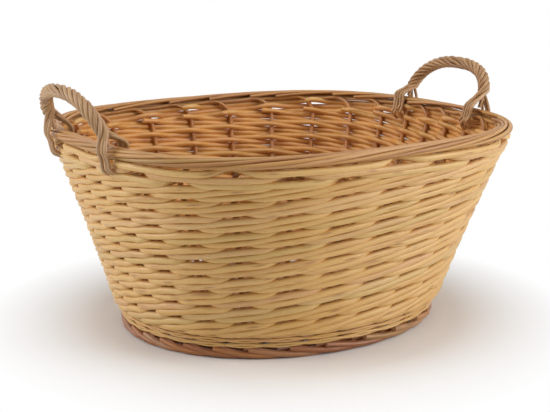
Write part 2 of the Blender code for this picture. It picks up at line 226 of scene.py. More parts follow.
paper = bpy.data.materials.new("studio_paper")
paper.use_nodes = True
paper_tree = paper.node_tree
matt = paper_tree.nodes["Principled BSDF"]
matt.inputs["Base Color"].default_value = PAPER_COLOUR
matt.inputs["Roughness"].default_value = PAPER_ROUGHNESS
glow = node(paper_tree, "ShaderNodeEmission")
glow.inputs["Color"].default_value = WHITE
floor_place = node(paper_tree, "ShaderNodeTexCoord")
from_middle = node(paper_tree, "ShaderNodeVectorMath", operation="LENGTH")
paper_tree.links.new(floor_place.outputs["Object"], from_middle.inputs[0])
fade = stretched(paper_tree, from_middle.outputs["Value"], PAPER_FADE_START, PAPER_FADE_END)
glow_share = times(paper_tree, looked_at(paper_tree), fade)
either = node(paper_tree, "ShaderNodeMixShader")
paper_tree.links.new(glow_share, either.inputs["Fac"])
paper_tree.links.new(matt.outputs["BSDF"], either.inputs[1])
paper_tree.links.new(glow.outputs["Emission"], either.inputs[2])
paper_end = paper_tree.nodes["Material Output"]
paper_tree.links.new(either.outputs["Shader"], paper_end.inputs["Surface"])
floor_sheet.data.materials.append(paper)
print("sky gives", SKY_LIGHT, "and the paper is white from", PAPER_FADE_END, "m")

# %% [markdown]
# ## The willow
# Every rod has a map of its own surface: one way it gives the metres along the rod, with the
# rod's number in tens, and the other way the turn round it. A cut end has a turn of 2.
# From that the shader gives each rod its own tint, fibres that run along it, buds and
# weather stains, and pale wood on the cut ends. These numbers say how much of each.

# %% Numbers for the willow
ROD_SPACING = 10.0
CUT_END = 2.0
NOISE_SHIFT = 7.31
# The ranges of a random value over which something goes from not there to fully there
WOOD_RANGE = (0.28, 1.05)
STAIN_RANGE = (0.60, 0.76)
STREAK_RANGE = (0.56, 0.74)
GREEN_RANGE = (0.60, 1.0)
PINK_RANGE = (0.62, 1.0)
# The distances from a bud's middle over which it fades away
BUD_RANGE = (0.10, 0.22)
BUD_SCALE = 0.62
# How strongly each of them changes the colour
PATCH_SHARE = 0.9
FIBRE_SHARE = 0.9
STAIN_SHARE = 0.6
STREAK_SHARE = 0.25
BUD_SHARE = 0.65
TINT_SHARE = 0.22
RING_SHARE = 0.4
GREEN_TINT = (0.42, 0.40, 0.12)
PINK_TINT = (0.72, 0.42, 0.30)
# Painted shade: a darker, redder tint on surfaces that face the middle of the basket, for the shade
# and warm bounce light inside it
INNER_SHADE_TINT = (1.0, 0.80, 0.62)
# How far a surface faces outwards where the painted inner shade starts and where it is full
INNER_SHADE_RANGE = (0.25, -0.45)
# Above the first height the painted inner shade has only its rim share, and below the second it is
# full
INNER_SHADE_HEIGHTS = (0.264, 0.252)
RIM_SHADE_SHARE = 0.20
ROUGHNESS_LEAST = 0.36
ROUGHNESS_OF_FIBRES = 0.22
ROUGHNESS_OF_STAINS = 0.15
# The heights of the relief, in parts of its depth
FIBRE_RELIEF = 0.8
FINE_RELIEF = 0.35
BUD_RELIEF = 0.9
RELIEF_DEPTH = 0.0004
print("tints", GREEN_TINT, PINK_TINT, INNER_SHADE_TINT)

# %% [markdown]
# ## The look that all the willow shares
# A node group works out the colour, the roughness and the relief of every point. It reads the
# rod's number, the metres along it and the turn round it, and each random value is stretched
# along the rod.

# %% Node group for willow rods
def willow_sockets(tree):
    """The inputs and outputs of the shared look."""
    for name in ("Light Wood", "Dark Wood", "Stain", "Cut Wood"):
        tree.interface.new_socket(name, in_out="INPUT", socket_type="NodeSocketColor")
    for name in ("Rod Variety", "Fibre Depth"):
        tree.interface.new_socket(name, in_out="INPUT", socket_type="NodeSocketFloat")
    for name, kind in (("Base Color", "Color"), ("Roughness", "Float"), ("Normal", "Vector")):
        tree.interface.new_socket(name, in_out="OUTPUT", socket_type=f"NodeSocket{kind}")
    return node(tree, "NodeGroupInput").outputs, node(tree, "NodeGroupOutput").inputs


def painted_inner_shade(tree):
    """The share of painted shade: how far a surface faces the middle of the basket. It counts for less
    on the rim.
    """
    spot = node(tree, "ShaderNodeTexCoord").outputs
    level = node(tree, "ShaderNodeVectorMath", operation="MULTIPLY")
    tree.links.new(spot["Object"], level.inputs[0])
    level.inputs[1].default_value = (1.0, 1.0, 0.0)
    outwards = node(tree, "ShaderNodeVectorMath", operation="NORMALIZE")
    tree.links.new(level.outputs["Vector"], outwards.inputs[0])
    facing = node(tree, "ShaderNodeVectorMath", operation="DOT_PRODUCT")
    tree.links.new(outwards.outputs["Vector"], facing.inputs[0])
    tree.links.new(spot["Normal"], facing.inputs[1])
    heights = node(tree, "ShaderNodeSeparateXYZ")
    tree.links.new(spot["Object"], heights.inputs["Vector"])
    shade_below_rim = stretched(tree, heights.outputs["Z"], *INNER_SHADE_HEIGHTS, RIM_SHADE_SHARE, 1.0)
    return times(tree, stretched(tree, facing.outputs["Value"], *INNER_SHADE_RANGE), shade_below_rim)


def willow_group():
    """The look that all the willow shares. Its inputs are the colours of one kind of rod."""
    tree = bpy.data.node_groups.new("willow_rod", "ShaderNodeTree")
    given, result = willow_sockets(tree)

    surface = node(tree, "ShaderNodeUVMap", uv_map="UVMap")
    parts = node(tree, "ShaderNodeSeparateXYZ")
    tree.links.new(surface.outputs["UV"], parts.inputs["Vector"])
    number = maths(tree, "FLOOR", maths(tree, "DIVIDE", parts.outputs["X"], ROD_SPACING))
    along = maths(tree, "SUBTRACT", parts.outputs["X"], times(tree, number, ROD_SPACING))
    turn = times(tree, parts.outputs["Y"], 2 * pi)
    round_x = maths(tree, "COSINE", turn)
    round_y = maths(tree, "SINE", turn)
    is_cut = maths(tree, "GREATER_THAN", parts.outputs["Y"], (1.0 + CUT_END) / 2)
    shift = times(tree, number, NOISE_SHIFT)

    tint = node(tree, "ShaderNodeTexWhiteNoise", noise_dimensions="1D")
    tree.links.new(number, tint.inputs["W"])
    tints = node(tree, "ShaderNodeSeparateColor")
    tree.links.new(tint.outputs["Color"], tints.inputs["Color"])

    def rod_place(per_metre):
        """A point that runs along the rod and round it, far from that of every other rod."""
        made = node(tree, "ShaderNodeCombineXYZ")
        tree.links.new(plus(tree, times(tree, along, per_metre), shift), made.inputs["X"])
        tree.links.new(round_x, made.inputs["Y"])
        tree.links.new(round_y, made.inputs["Z"])
        return made.outputs["Vector"]

    # Fibres: very long along the rod and fine round it
    fibres = noise(tree, rod_place(per_metre=9.0), scale=3.4, detail=4.0, roughness=0.62)
    fine = noise(tree, rod_place(per_metre=30.0), scale=6.5, detail=2.0)
    # Long patches where a rod is darker or lighter
    patches = noise(tree, rod_place(per_metre=11.0), scale=0.8, detail=2.0)
    # Brown sap stains, in fewer places
    sap = noise(tree, rod_place(per_metre=26.0), scale=0.62, detail=3.0, roughness=0.6)
    stains = stretched(tree, sap, *STAIN_RANGE)
    # Buds: one to about every 50 mm, now on one side and now on the other
    buds = node(tree, "ShaderNodeTexVoronoi")
    tree.links.new(rod_place(per_metre=30.0), buds.inputs["Vector"])
    buds.inputs["Scale"].default_value = BUD_SCALE
    bud = stretched(tree, buds.outputs["Distance"], *BUD_RANGE, 1.0, 0.0)

    own = times(tree, tints.outputs["Red"], given["Rod Variety"])
    wood = plus(tree, times(tree, patches, PATCH_SHARE), own)
    wood = plus(tree, wood, times(tree, maths(tree, "SUBTRACT", fibres, 0.5), FIBRE_SHARE))
    share = stretched(tree, wood, *WOOD_RANGE)
    colour = blended(tree, share, given["Light Wood"], given["Dark Wood"])
    colour = blended(tree, times(tree, stains, STAIN_SHARE), colour, given["Stain"])
    streak = stretched(tree, fine, *STREAK_RANGE, 0.0, STREAK_SHARE)
    colour = blended(tree, streak, colour, given["Stain"])
    colour = blended(tree, times(tree, bud, BUD_SHARE), colour, given["Stain"])
    # A few rods lean to green or to pink
    greenish = stretched(tree, tints.outputs["Green"], *GREEN_RANGE, 0.0, TINT_SHARE)
    colour = blended(tree, greenish, colour, GREEN_TINT)
    pinkish = stretched(tree, tints.outputs["Blue"], *PINK_RANGE, 0.0, TINT_SHARE)
    colour = blended(tree, pinkish, colour, PINK_TINT)
    # Painted shade: surfaces that face the middle of the basket are made darker and redder, for the
    # shade and warm bounce light inside it
    colour = blended(tree, painted_inner_shade(tree), colour, INNER_SHADE_TINT, "MULTIPLY")
    rings = noise(tree, surface.outputs["UV"], scale=900.0, detail=1.0)
    cut = blended(tree, times(tree, rings, RING_SHARE), given["Cut Wood"], given["Dark Wood"])
    colour = blended(tree, is_cut, colour, cut)
    tree.links.new(colour, result["Base Color"])

    rough = plus(tree, times(tree, fibres, ROUGHNESS_OF_FIBRES), ROUGHNESS_LEAST)
    rough = plus(tree, rough, times(tree, stains, ROUGHNESS_OF_STAINS))
    tree.links.new(rough, result["Roughness"])

    relief = plus(tree, times(tree, fibres, FIBRE_RELIEF), times(tree, fine, FINE_RELIEF))
    relief = plus(tree, relief, times(tree, bud, BUD_RELIEF))
    bump = node(tree, "ShaderNodeBump")
    bump.inputs["Distance"].default_value = RELIEF_DEPTH
    tree.links.new(given["Fibre Depth"], bump.inputs["Strength"])
    tree.links.new(relief, bump.inputs["Height"])
    tree.links.new(bump.outputs["Normal"], result["Normal"])
    return tree


WILLOW = willow_group()
print("willow look has", len(WILLOW.nodes), "nodes")

# %% [markdown]
# ## A finish for each kind of rod
# The siding is the palest. The stakes and the rim are a warm brown, the foot a red brown, and
# the handles and the base greyer. Each colour is given for light wood, dark wood, stains and
# cut ends.

# %% Willow materials
WILLOW_SHINE = 0.7
WILLOW_SHEEN = 0.10
WILLOW_SHEEN_ROUGHNESS = 0.30


def willow(slot, light, dark, stain, cut, variety, depth):
    """The finish for one of the record's slots: its own colours in the shared look."""
    material = bpy.data.materials.new(f"{slot}_rod")
    material["slot"] = slot
    material.use_nodes = True
    tree = material.node_tree
    shader = tree.nodes["Principled BSDF"]
    look = tree.nodes.new("ShaderNodeGroup")
    look.node_tree = WILLOW
    look.inputs["Light Wood"].default_value = (*light, 1.0)
    look.inputs["Dark Wood"].default_value = (*dark, 1.0)
    look.inputs["Stain"].default_value = (*stain, 1.0)
    look.inputs["Cut Wood"].default_value = (*cut, 1.0)
    look.inputs["Rod Variety"].default_value = variety
    look.inputs["Fibre Depth"].default_value = depth
    for output in ("Base Color", "Roughness", "Normal"):
        tree.links.new(look.outputs[output], shader.inputs[output])
    shader.inputs["Specular IOR Level"].default_value = WILLOW_SHINE
    shader.inputs["Sheen Weight"].default_value = WILLOW_SHEEN
    shader.inputs["Sheen Roughness"].default_value = WILLOW_SHEEN_ROUGHNESS
    material.diffuse_color = (*light, 1.0)
    return material


siding_willow = willow(
    "siding_willow",
    light=(0.77, 0.485, 0.17), dark=(0.64, 0.35, 0.085), stain=(0.34, 0.13, 0.03),
    cut=(0.80, 0.58, 0.34), variety=0.45, depth=0.35,
)
stake_willow = willow(
    "stake_willow",
    light=(0.60, 0.31, 0.075), dark=(0.41, 0.175, 0.038), stain=(0.18, 0.062, 0.015),
    cut=(0.76, 0.46, 0.32), variety=0.65, depth=0.4,
)
foot_willow = willow(
    "foot_willow",
    light=(0.53, 0.205, 0.048), dark=(0.28, 0.086, 0.018), stain=(0.11, 0.032, 0.010),
    cut=(0.70, 0.42, 0.22), variety=0.65, depth=0.6,
)
base_willow = willow(
    "base_willow",
    light=(0.56, 0.34, 0.15), dark=(0.38, 0.19, 0.07), stain=(0.24, 0.09, 0.03),
    cut=(0.70, 0.48, 0.28), variety=0.55, depth=0.6,
)
handle_willow = willow(
    "handle_willow",
    light=(0.54, 0.32, 0.135), dark=(0.34, 0.17, 0.06), stain=(0.18, 0.075, 0.025),
    cut=(0.76, 0.48, 0.36), variety=0.65, depth=0.2,
)
print("materials", [m.name for m in bpy.data.materials if m.name.endswith("_rod")])

# %% [markdown]
# ## The shape of the wall
# The foot is an ellipse and the rim a squarer oval. Every rod's place follows from the line
# of a stake between the two, so the wall is described once, as in the CAD source.

# %% Wall
RIM_LENGTH = 0.600
RIM_WIDTH = 0.540
RIM_HEIGHT = 0.275
FOOT_LENGTH = 0.452
FOOT_WIDTH = 0.383
RIM_SQUARENESS = 2.8
WALL_HOLLOW = 0.13
STAKE_COUNT = 30
STAKE_RADIUS = 0.0035
END_CROWDING = 0.085
BORDER_WIDTH = 0.021
BORDER_DEPTH = 0.015
FOOT_BORDER_WIDTH = 0.021
FOOT_BORDER_DEPTH = 0.0180
FOOT_TRIM = 0.0012
TOUCH = 0.0003
WEAVE_CLEARANCE = 0.0007
BORDER_MIDDLE = RIM_HEIGHT - BORDER_DEPTH / 2
FOOT_BORDER_TOP = FOOT_BORDER_DEPTH - FOOT_TRIM
SMALL_STEP = 0.001
MILLIMETRES = 1000


def oval(angle, length, width, squareness):
    """A point of an oval, by the angle that it would have on a circle."""
    reach = (abs(cos(angle)) ** squareness + abs(sin(angle)) ** squareness) ** (-1 / squareness)
    return Vector((length / 2 * reach * cos(angle), width / 2 * reach * sin(angle), 0.0))


def stake_line(angle, height):
    """The point where a stake at this angle passes this height."""
    part_way = height / BORDER_MIDDLE
    spread = part_way - WALL_HOLLOW * part_way * (1 - part_way)
    foot = oval(angle, FOOT_LENGTH - FOOT_BORDER_WIDTH, FOOT_WIDTH - FOOT_BORDER_WIDTH, 2)
    rim = oval(angle, RIM_LENGTH - BORDER_WIDTH, RIM_WIDTH - BORDER_WIDTH, RIM_SQUARENESS)
    point = foot.lerp(rim, spread)
    point.z = height
    return point


def wall_normal(angle, height):
    """The outward direction square to the wall."""
    along = stake_line(angle + SMALL_STEP, height) - stake_line(angle - SMALL_STEP, height)
    up = stake_line(angle, height + SMALL_STEP) - stake_line(angle, height - SMALL_STEP)
    return along.cross(up).normalized()


def wall_point(angle, height, offset):
    """A point at this angle and height, moved outwards from the line of the stakes."""
    return stake_line(angle, height) + wall_normal(angle, height) * offset


def border_point(angle, middle, across, rise, radius):
    """A point of a rod in a border, by how far it lies outwards and up from the middle."""
    out = wall_normal(angle, middle)
    out.z = 0.0
    out.normalize()
    place = stake_line(angle, middle) + out * across
    return (place.x, place.y, middle + rise, radius)


def stake_angle(number):
    """The angle of a stake, or of a place between two."""
    even = 2 * pi * (number + 0.5) / STAKE_COUNT
    return even - END_CROWDING * sin(2 * even)


def weave_offset(rod_radius):
    """How far a rod's middle lies from the line of the stakes where it passes one."""
    return STAKE_RADIUS + rod_radius + WEAVE_CLEARANCE


print("wall", stake_line(0, 0), stake_line(0, RIM_HEIGHT))

# %% [markdown]
# ## The path of a rod
# Every rod follows a smooth path, with a thickness at each point. Willow isn't even: its
# thickness varies and it wanders by fractions of a millimetre, so each rod gets its own small
# waves from its number.

# %% Paths
def waves(seed, count, shortest, longest):
    """A few sine waves of random length and place, whose sum stays between -1 and 1."""
    chance = random.Random(seed)
    parts = []
    for _ in range(count):
        parts.append((2 * pi / chance.uniform(shortest, longest), chance.uniform(0, 2 * pi)))
    return lambda place: sum(sin(speed * place + phase) for speed, phase in parts) / count


def smooth(points, steps):
    """More points on the smooth curve through some points, given as (x, y, z, radius)."""
    result = []
    last = len(points) - 1
    for i in range(last):
        before, start = points[max(i - 1, 0)], points[i]
        end, after = points[i + 1], points[min(i + 2, last)]
        for step in range(steps):
            t = step / steps
            spot = []
            for a, b, c, d in zip(before, start, end, after):
                bend = (2 * a - 5 * b + 4 * c - d) * t * t + (3 * b - a - 3 * c + d) * t ** 3
                spot.append((2 * b + (c - a) * t + bend) / 2)
            result.append(tuple(spot))
    result.append(tuple(points[-1]))
    return result


print("3 points make a path of", len(smooth([(0, 0, 0, 1)] * 3, steps=4)))

# %% [markdown]
# ## A rod along its path
# Mesh code makes each rod as a tube, because a bevelled curve doesn't keep the metres along
# the rod for the willow shader. An open rod has a flat cut at each end.

# %% Rods
ROD_SIDES = 9
THIN_ROD_SIDES = 8
BASE_ROD_SIDES = 7
ROD_START = 0.5
CUT_SIZE = 0.002
SHARP_EDGE = radians(60)
# Every rod takes the next number
rod_numbers = iter(range(1, 10000))


def directions(places, closed):
    """The ways forward and out at each place, and the twist left over where a rod closes."""
    count = len(places)
    forwards = []
    for i in range(count):
        before = places[i - 1] if i > 0 or closed else places[i]
        after = places[(i + 1) % count] if i < count - 1 or closed else places[i]
        forwards.append((after - before).normalized())
    out = forwards[0].orthogonal().normalized()
    outs = []
    for forward in forwards:
        out = (out - forward * out.dot(forward)).normalized()
        outs.append(out)
    left_over = 0.0
    if closed:
        arrived = (outs[-1] - forwards[0] * outs[-1].dot(forwards[0])).normalized()
        left_over = arrived.angle(outs[0])
        if arrived.cross(outs[0]).dot(forwards[0]) < 0:
            left_over = -left_over
    return forwards, outs, left_over


def tube(path, closed, first_vertex, number, sides):
    """Corners, faces and surface map of one rod. path holds (x, y, z, radius)."""
    places = [Vector(point[:3]) for point in path]
    count = len(places)
    forwards, outs, left_over = directions(places, closed)
    corners = []
    for i in range(count):
        side = forwards[i].cross(outs[i])
        # A closed rod shares out the twist that is left where it meets itself
        untwist = left_over * i / count
        for j in range(sides):
            corner = 2 * pi * j / sides + untwist
            corners.append(places[i] + path[i][3] * (cos(corner) * outs[i] + sin(corner) * side))
    lengths = [0.0]
    for i in range(1, count + 1):
        lengths.append(lengths[-1] + (places[i % count] - places[i - 1]).length)
    faces = []
    maps = []
    start_u = number * ROD_SPACING + ROD_START
    for i in range(count if closed else count - 1):
        ring, following = i * sides, ((i + 1) % count) * sides
        low, high = start_u + lengths[i], start_u + lengths[i + 1]
        for j in range(sides):
            k = (j + 1) % sides
            ends = (ring + j, ring + k, following + k, following + j)
            faces.append(tuple(first_vertex + n for n in ends))
            turn, next_turn = j / sides, (j + 1) / sides
            maps.append(((low, turn), (low, next_turn), (high, next_turn), (high, turn)))
    if not closed:
        for end, step in ((0, -1), (count - 1, 1)):
            order = range(sides)[::step]
            faces.append(tuple(first_vertex + end * sides + j for j in order))
            maps.append(tuple((
                start_u + lengths[end] + CUT_SIZE * cos(2 * pi * j / sides),
                CUT_END + CUT_SIZE * sin(2 * pi * j / sides),
            ) for j in order))
    return corners, faces, maps


def rods(name, paths, material, stands_for, closed=False, sides=ROD_SIDES):
    """One piece made of some rods. It stands for CAD nodes and takes their finish's slot."""
    corners = []
    faces = []
    maps = []
    for path in paths:
        more = tube(path, closed, len(corners), next(rod_numbers), sides)
        corners += more[0]
        faces += more[1]
        maps += more[2]
    mesh = bpy.data.meshes.new(name)
    mesh.from_pydata(corners, [], faces)
    layer = mesh.uv_layers.new(name="UVMap")
    flat = [value for face in maps for corner in face for value in corner]
    layer.data.foreach_set("uv", flat)
    mesh.shade_smooth()
    mesh.set_sharp_from_angle(angle=SHARP_EDGE)
    mesh.materials.append(material)
    mesh.update()
    piece = bpy.data.objects.new(name, mesh)
    scene.collection.objects.link(piece)
    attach(piece, "root")
    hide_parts(*stands_for)
    return piece


print("a rod has", ROD_SIDES, "sides")

# %% [markdown]
# ## The weave
# All the rods of the wall pass outside two stakes and inside the third. A place along a rod
# is counted in strokes, one from stake to stake, and at stroke 0 the rod passes inside.

# %% Weave
WEAVE_CYCLE = 3
DIP_WIDTH = 0.28
DIP_DEPTH = 1.65


def in_and_out(stroke):
    """Below 0 where a rod passes inside a stake, in a short dip, and 1 outside the next two."""
    past_inside = (stroke + WEAVE_CYCLE / 2) % WEAVE_CYCLE - WEAVE_CYCLE / 2
    return 1 - DIP_DEPTH * exp(-((past_inside / DIP_WIDTH) ** 2))


def low_and_high(stroke):
    """-1 and 1 at the two stakes that a rod passes outside, 0 at the one it passes inside."""
    turn = 2 * pi * (stroke - WEAVE_CYCLE / 2) / WEAVE_CYCLE
    return (sin(turn) + sin(2 * turn)) / sqrt(3)


print("out at three stakes", [round(in_and_out(stroke), 2) for stroke in range(WEAVE_CYCLE)])

# %% [markdown]
# ## Waling bands
# Below and above the siding three rods are worked together, each one stake behind the last.
# Below, thin rods go round three times and cross over one another. Above, three rods lie side
# by side. All are closed rings, because the joins don't show.

# %% Upsett and top wale
WALE_RODS = 3
UPSETT_ROD_RADIUS = 0.0033
TOP_WALE_ROD_RADIUS = 0.0025
TOP_WALE_GAP = 0.0025
UPSETT_ROUNDS = 3
WALE_POINTS = 8
WALE_RISE_WANDER = 0.0005
WALE_THICK_WANDER = 0.06
# A rod's radius, in the upsett in parts of a quarter of a round's height and in the top wale
# in parts of a rod's share of the height
UPSETT_FULLNESS = 0.90
TOP_WALE_FULLNESS = 0.62
TOP_WALE_CROSSING = 0.0004
BEHIND_RIM = 0.002
UPSETT_SEED = 100
TOP_WALE_SEED = 200


def wale_step(rod_radius):
    """Half the height between the two outer strokes of a band."""
    return 2 * rod_radius + WEAVE_CLEARANCE


def upsett_middle():
    """The height of the middle of the lower band, which stands on the foot border."""
    return FOOT_BORDER_TOP + 2 * TOUCH + wale_step(UPSETT_ROD_RADIUS) + UPSETT_ROD_RADIUS


def top_wale_middle():
    """The height of the middle of the upper band, which hangs under the rim."""
    highest = RIM_HEIGHT - BORDER_DEPTH - TOP_WALE_GAP - TOP_WALE_ROD_RADIUS
    return highest - wale_step(TOP_WALE_ROD_RADIUS)


def wale_ring(number, middle, half_step, radius, seed):
    """One closed rod of a band, as points with radii."""
    wander = waves(seed, count=3, shortest=2.0, longest=7.5)
    path = []
    for i in range(STAKE_COUNT * WALE_POINTS):
        stroke = i / WALE_POINTS
        share = i / (STAKE_COUNT * WALE_POINTS)
        loose = wander(stroke) * sin(pi * share)
        height = middle - low_and_high(stroke + number) * half_step + WALE_RISE_WANDER * loose
        offset = weave_offset(radius) * in_and_out(stroke + number)
        thick = radius * (1 + WALE_THICK_WANDER * loose)
        path.append((*wall_point(stake_angle(stroke), height, offset), thick))
    return path


upsett_low = upsett_middle() - wale_step(UPSETT_ROD_RADIUS) - UPSETT_ROD_RADIUS
upsett_high = upsett_middle() + wale_step(UPSETT_ROD_RADIUS) + UPSETT_ROD_RADIUS
thin = (upsett_high - upsett_low) / (4 * UPSETT_ROUNDS)
top_wale_low = top_wale_middle() - wale_step(TOP_WALE_ROD_RADIUS) - TOP_WALE_ROD_RADIUS
top_pitch = (RIM_HEIGHT - BORDER_DEPTH + BEHIND_RIM - top_wale_low) / WALE_RODS
for number in range(WALE_RODS):
    rings = []
    for round_number in range(UPSETT_ROUNDS):
        middle = upsett_low + thin * (4 * round_number + 2)
        seed = UPSETT_SEED + WALE_RODS * round_number + number
        rings.append(wale_ring(number, middle, thin, thin * UPSETT_FULLNESS, seed))
    name = f"upsett_rod_{number + 1}"
    rods(f"{name}_willow", rings, siding_willow, [name], closed=True, sides=THIN_ROD_SIDES)
    middle = top_wale_low + top_pitch * (number + 0.5)
    radius = top_pitch * TOP_WALE_FULLNESS
    ring = wale_ring(number, middle, TOP_WALE_CROSSING, radius, TOP_WALE_SEED + number)
    name = f"top_wale_rod_{number + 1}"
    rods(f"{name}_willow", [ring], siding_willow, [name], closed=True)
print("upsett rods are", round(2 * thin * UPSETT_FULLNESS * MILLIMETRES, 2), "mm thick")

# %% [markdown]
# ## Siding
# French randing: one rod starts at every stake and goes once round, inside one stake and
# outside the next two, climbing one row at every stake. That gives the slanting rods and
# the grid of small dark holes where the stakes show. The rods thin from butt to tip.

# %% Weavers
WEAVER_STROKES = STAKE_COUNT + 1
WEAVER_BUTT_SHARE = 0.468
WEAVER_TIP_SHARE = 0.435
STROKE_POINTS = 10
BUTT_OVERHANG = 0.22
ROD_FULLNESS = 1.42
ROD_SPREAD = 0.0009
ROWS_EASE = 0.0025
ROD_SWELL = 0.09
WEAVER_WANDER = 0.0004
WEAVER_THICK_WANDER = 0.05
WEAVER_RISE_SEED = 300
WEAVER_SIDE_SEED = 400
WEAVER_THICK_SEED = 500

siding_bottom = upsett_high + TOUCH
siding_top = top_wale_middle() - TOP_WALE_ROD_RADIUS - TOUCH
row_count = WEAVER_STROKES - 2 + WEAVER_BUTT_SHARE + WEAVER_TIP_SHARE
row_pitch = (siding_top - siding_bottom) / row_count


def weaver_radius(stroke):
    """The radius that a rod has in the CAD model after some strokes."""
    thinned = stroke / (WEAVER_STROKES - 1)
    return row_pitch * (WEAVER_BUTT_SHARE + (WEAVER_TIP_SHARE - WEAVER_BUTT_SHARE) * thinned)


def row_height(stroke):
    """A rod's height after some strokes. Rows are taller below, where rods are thicker."""
    share = (stroke - 1) / (WEAVER_STROKES - 2)
    even = siding_bottom + weaver_radius(0) + (stroke - 1) * row_pitch
    return even + 4 * ROWS_EASE * share * (1 - share)


def weaver(number):
    """One rod of the siding, as points with radii. Its ends stick out a little inside."""
    rise_wave = waves(WEAVER_RISE_SEED + number, count=4, shortest=1.3, longest=6.0)
    side_wave = waves(WEAVER_SIDE_SEED + number, count=3, shortest=1.5, longest=5.0)
    thick_wave = waves(WEAVER_THICK_SEED + number, count=4, shortest=0.8, longest=3.0)
    last = (WEAVER_STROKES - 1) * STROKE_POINTS
    path = []
    for i in range(last + 1):
        stroke = i / STROKE_POINTS
        at = stroke
        if i == 0:
            at = -BUTT_OVERHANG
        if i == last:
            at = stroke + BUTT_OVERHANG
        height = row_height(at) + WEAVER_WANDER * rise_wave(stroke) + ROD_SPREAD * low_and_high(stroke)
        radius = weaver_radius(stroke)
        offset = weave_offset(radius) * in_and_out(stroke) + WEAVER_WANDER * side_wave(stroke)
        taller = 1 + 4 * ROWS_EASE / row_pitch / WEAVER_STROKES * (1 - 2 * stroke / WEAVER_STROKES)
        thick = radius * ROD_FULLNESS * taller * (1 + WEAVER_THICK_WANDER * thick_wave(stroke))
        thick *= 1 + ROD_SWELL * (in_and_out(stroke) - 0.5)
        path.append((*wall_point(stake_angle(number + at), height, offset), thick))
    return path


for number in range(STAKE_COUNT):
    name = f"weaver_{number + 1:02d}"
    rods(f"{name}_willow", [weaver(number)], siding_willow, [name])
print("rows are", round(row_pitch * MILLIMETRES, 2), "mm apart")

# %% [markdown]
# ## Stakes and rim
# Each stake stands on the foot, runs up the wall and is then bent over along the rim. It
# bends in under the rim, comes up outside and over the top, and is cut off at the inner
# edge, eight stakes further on. So stake and rim are one piece, as they really are.

# %% Stakes with their tops
STAKE_STEPS = 7
STAKE_STOP = 0.022
STAKE_SWAY = 0.0003
STAKE_SWAY_SEED = 600
STAKE_BUTT_FULLNESS = 1.02
STAKE_THINNING = 0.06
RIM_REACH = 8.1
RIM_REACH_VARIETY = 0.25
RIM_TURN = radians(42)
RIM_START = radians(-150)
RIM_EVENING = 0.12
RIM_LOOSENESS = 0.045
RIM_FIRST_POINT = 0.3
RIM_POINT_SPACING = 0.4
SHORT_TOPS = (20, 21, 22)
SHORT_TOP_CUT = 1.6
TOP_THICK = 0.0026
TOP_THIN = 0.0021
TOP_THICK_VARIETY = 0.05


def rim_point(number, travel):
    """A stake's top after some stakes' travel along the rim, with its radius."""
    share = travel / RIM_REACH
    radius = TOP_THICK + (TOP_THIN - TOP_THICK) * share
    # Sines of uneven multiples of the rod's number make every rod a little different
    loose = sin(2.6 * number) + sin(1.7 * travel + 4.1 * number)
    turn = RIM_START + RIM_TURN * travel + RIM_LOOSENESS * loose
    turn += RIM_EVENING * sin(2 * turn)
    radius *= 1 + TOP_THICK_VARIETY * sin(5.3 * number)
    across = (BORDER_WIDTH / 2 - radius) * cos(turn)
    rise = (BORDER_DEPTH / 2 - radius) * sin(turn)
    return border_point(stake_angle(number + travel), BORDER_MIDDLE, across, rise, radius)


def stake(number):
    """A stake from the foot to the cut end of its top. A few by the right end are shorter."""
    reach = RIM_REACH - RIM_REACH_VARIETY * (1 + sin(3.7 * number))
    if number in SHORT_TOPS:
        reach = RIM_REACH - SHORT_TOP_CUT
    angle = stake_angle(number)
    sway = waves(STAKE_SWAY_SEED + number, count=2, shortest=0.08, longest=0.3)
    points = []
    bottom = FOOT_BORDER_TOP + TOUCH
    for step in range(STAKE_STEPS + 1):
        height = bottom + (BORDER_MIDDLE - STAKE_STOP - bottom) * step / STAKE_STEPS
        line = wall_point(angle, height, STAKE_SWAY * sway(height))
        fullness = STAKE_BUTT_FULLNESS - STAKE_THINNING * step / STAKE_STEPS
        points.append((*line, STAKE_RADIUS * fullness))
    travel = RIM_FIRST_POINT
    while travel <= reach:
        points.append(rim_point(number, travel))
        travel += RIM_POINT_SPACING
    return smooth(points, steps=3)


rods(
    "stakes_and_rim_border_willow",
    [stake(number) for number in range(STAKE_COUNT)],
    stake_willow,
    ["stakes_and_rim_border"],
)
print("a stake's top goes", RIM_REACH, "stakes along the rim")

# %% [markdown]
# ## Foot border
# Thick red-brown rods are laid round the foot, one to a stake. Each starts with a blunt
# pale end wrapped round its stake, slopes down outside and is tucked under the basket.

# %% Foot border
FOOT_ROD_THICK = 0.0041
FOOT_ROD_THIN = 0.0034
FOOT_ROD_LEAD = 0.12
FOOT_ROD_VARIETY = 0.08
FOOT_SEED = 700
# Travel in stakes, and the share of the border's half width and half height at which the rod is
FOOT_PATH = (
    (0.00, 0.97, 0.98), (0.35, 1.00, 0.36), (0.80, 1.00, -0.42), (1.20, 0.90, -0.80),
    (1.60, 0.66, -0.94), (2.10, 0.10, -0.95), (2.60, -0.60, -0.86), (3.00, -0.95, -0.30),
    (3.40, -1.00, 0.40), (3.80, -0.80, 0.90),
)


def foot_rod(number):
    """One rod of the foot border, as points with radii."""
    middle = FOOT_BORDER_TOP / 2
    points = []
    chance = random.Random(FOOT_SEED + number)
    lead = chance.uniform(-FOOT_ROD_VARIETY, FOOT_ROD_VARIETY)
    for travel, out_share, up_share in FOOT_PATH:
        radius = FOOT_ROD_THICK + (FOOT_ROD_THIN - FOOT_ROD_THICK) * travel / FOOT_PATH[-1][0]
        angle = stake_angle(number + FOOT_ROD_LEAD + lead + travel)
        across = (FOOT_BORDER_WIDTH / 2 - radius) * out_share
        rise = (FOOT_BORDER_TOP / 2 - radius) * up_share
        points.append(border_point(angle, middle, across, rise, radius))
    return smooth(points, steps=4)


rods(
    "foot_border_willow",
    [foot_rod(number) for number in range(STAKE_COUNT)],
    foot_willow,
    ["foot_border"],
)
print("foot border of", STAKE_COUNT, "rods")

